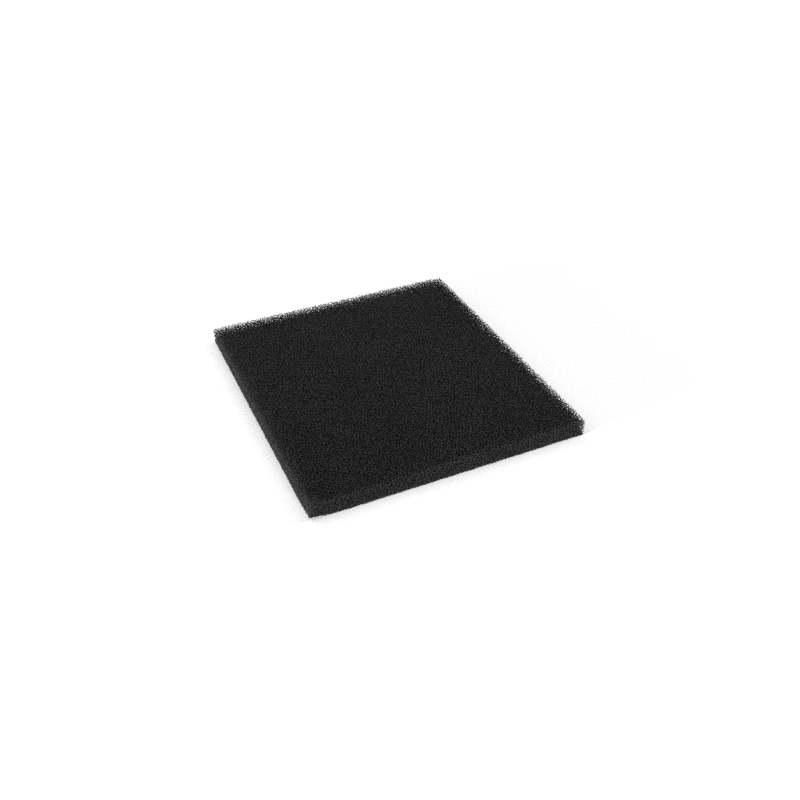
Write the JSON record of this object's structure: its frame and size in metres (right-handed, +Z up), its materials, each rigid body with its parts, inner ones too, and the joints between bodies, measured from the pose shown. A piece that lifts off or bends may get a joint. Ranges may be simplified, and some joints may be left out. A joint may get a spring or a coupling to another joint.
{
  "type": "foam air filter element",
  "caption": "Flat, nearly square pad of black open-cell foam that lies in an air cleaner and filters the air a small engine draws in.",
  "frame": {"origin": "centre of the bottom face", "axes": "+Z up through the thickness, +X along the short side, +Y along the long side"},
  "size_m": [0.165, 0.182, 0.01],
  "materials": {
    "foam": "matte"
  },
  "bodies": {
    "root": {"foam_pad": "foam"}
  },
  "joints": []
}
